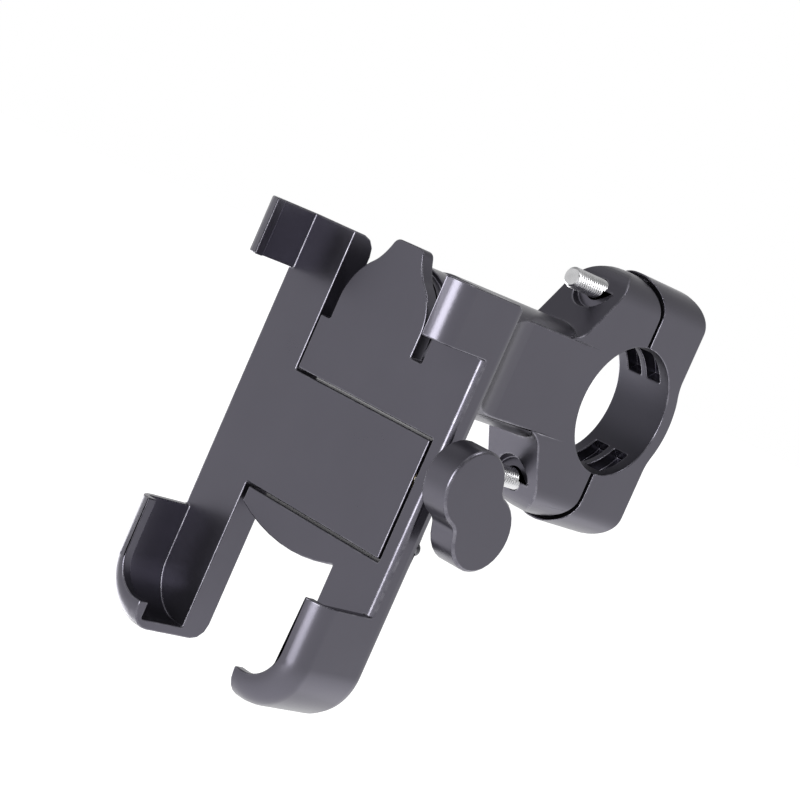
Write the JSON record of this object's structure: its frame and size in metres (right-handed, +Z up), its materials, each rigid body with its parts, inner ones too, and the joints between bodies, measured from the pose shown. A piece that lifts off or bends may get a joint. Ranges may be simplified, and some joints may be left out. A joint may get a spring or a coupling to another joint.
{
  "type": "phone mount",
  "caption": "Metal handlebar phone mount: a split clamp and round neck carry a turning plate whose screw-driven jaw grips a phone by hooked corners.",
  "frame": {"origin": "centre of the handlebar bore, midway between the clamp's two side faces", "axes": "+X along the handlebar bore, towards the thumb knob; the phone faces -Y; +Z up along the phone"},
  "size_m": [0.0743, 0.1165, 0.1131],
  "materials": {
    "gunmetal": "satin gunmetal anodised, smooth",
    "bright_steel": "bright zinc plated",
    "dark_steel": "black oxide steel",
    "brass": "turned brass",
    "nylon": "matt black"
  },
  "bodies": {
    "clamp": {"clamp_body": "gunmetal", "friction_ring": "nylon", "swivel_spring_inner": "dark_steel", "swivel_spring_outer": "dark_steel"},
    "holder": {"fixed_plate": "gunmetal", "guide_rod_upper": "bright_steel", "guide_rod_lower": "bright_steel", "rod_grub_screw_upper": "dark_steel", "rod_grub_screw_lower": "dark_steel", "swivel_insert": "dark_steel", "swivel_bolt": "dark_steel"},
    "jaw": {"sliding_jaw": "gunmetal", "lead_nut": "brass"},
    "thumb_screw": {"lead_screw": "bright_steel", "thumb_knob": "gunmetal", "knob_washer": "nylon", "retaining_ring": "dark_steel", "screw_stop_ring": "dark_steel"},
    "cap": {"clamp_cap": "gunmetal", "clamp_washer_upper": "bright_steel", "clamp_washer_lower": "bright_steel"},
    "upper_screw": {"clamp_screw_upper": "bright_steel"},
    "lower_screw": {"clamp_screw_lower": "bright_steel"}
  },
  "joints": [
    {"name": "swivel", "type": "hinge", "parent": "clamp", "child": "holder", "pos_m": [0, -0.0662, 0], "axis": [0, -1, 0], "continuous": true},
    {"name": "jaw_slide", "type": "slide", "parent": "holder", "child": "jaw", "axis": [-1, 0, 0], "range_m": [0, 0.028]},
    {"name": "knob_turn", "type": "hinge", "parent": "holder", "child": "thumb_screw", "pos_m": [0.0312, -0.07785, -0.0268], "axis": [1, 0, 0], "range_deg": [-5, 14405]},
    {"name": "cap_slide", "type": "slide", "parent": "clamp", "child": "cap", "axis": [0, 1, 0], "range_m": [-0.0008, 0.006]},
    {"name": "clamp_screw_upper_turn", "type": "hinge", "parent": "cap", "child": "upper_screw", "pos_m": [0, 0.012, 0.024], "axis": [0, 1, 0], "range_deg": [-365, 2705]},
    {"name": "clamp_screw_lower_turn", "type": "hinge", "parent": "cap", "child": "lower_screw", "pos_m": [0, 0.012, -0.024], "axis": [0, 1, 0], "range_deg": [-365, 2705]}
  ],
  "couplings": [
    {"joint": "knob_turn", "follows": "jaw_slide", "rad_per_m": 8976},
    {"joint": "clamp_screw_upper_turn", "follows": "cap_slide", "rad_per_m": 7854},
    {"joint": "clamp_screw_lower_turn", "follows": "cap_slide", "rad_per_m": 7854}
  ]
}
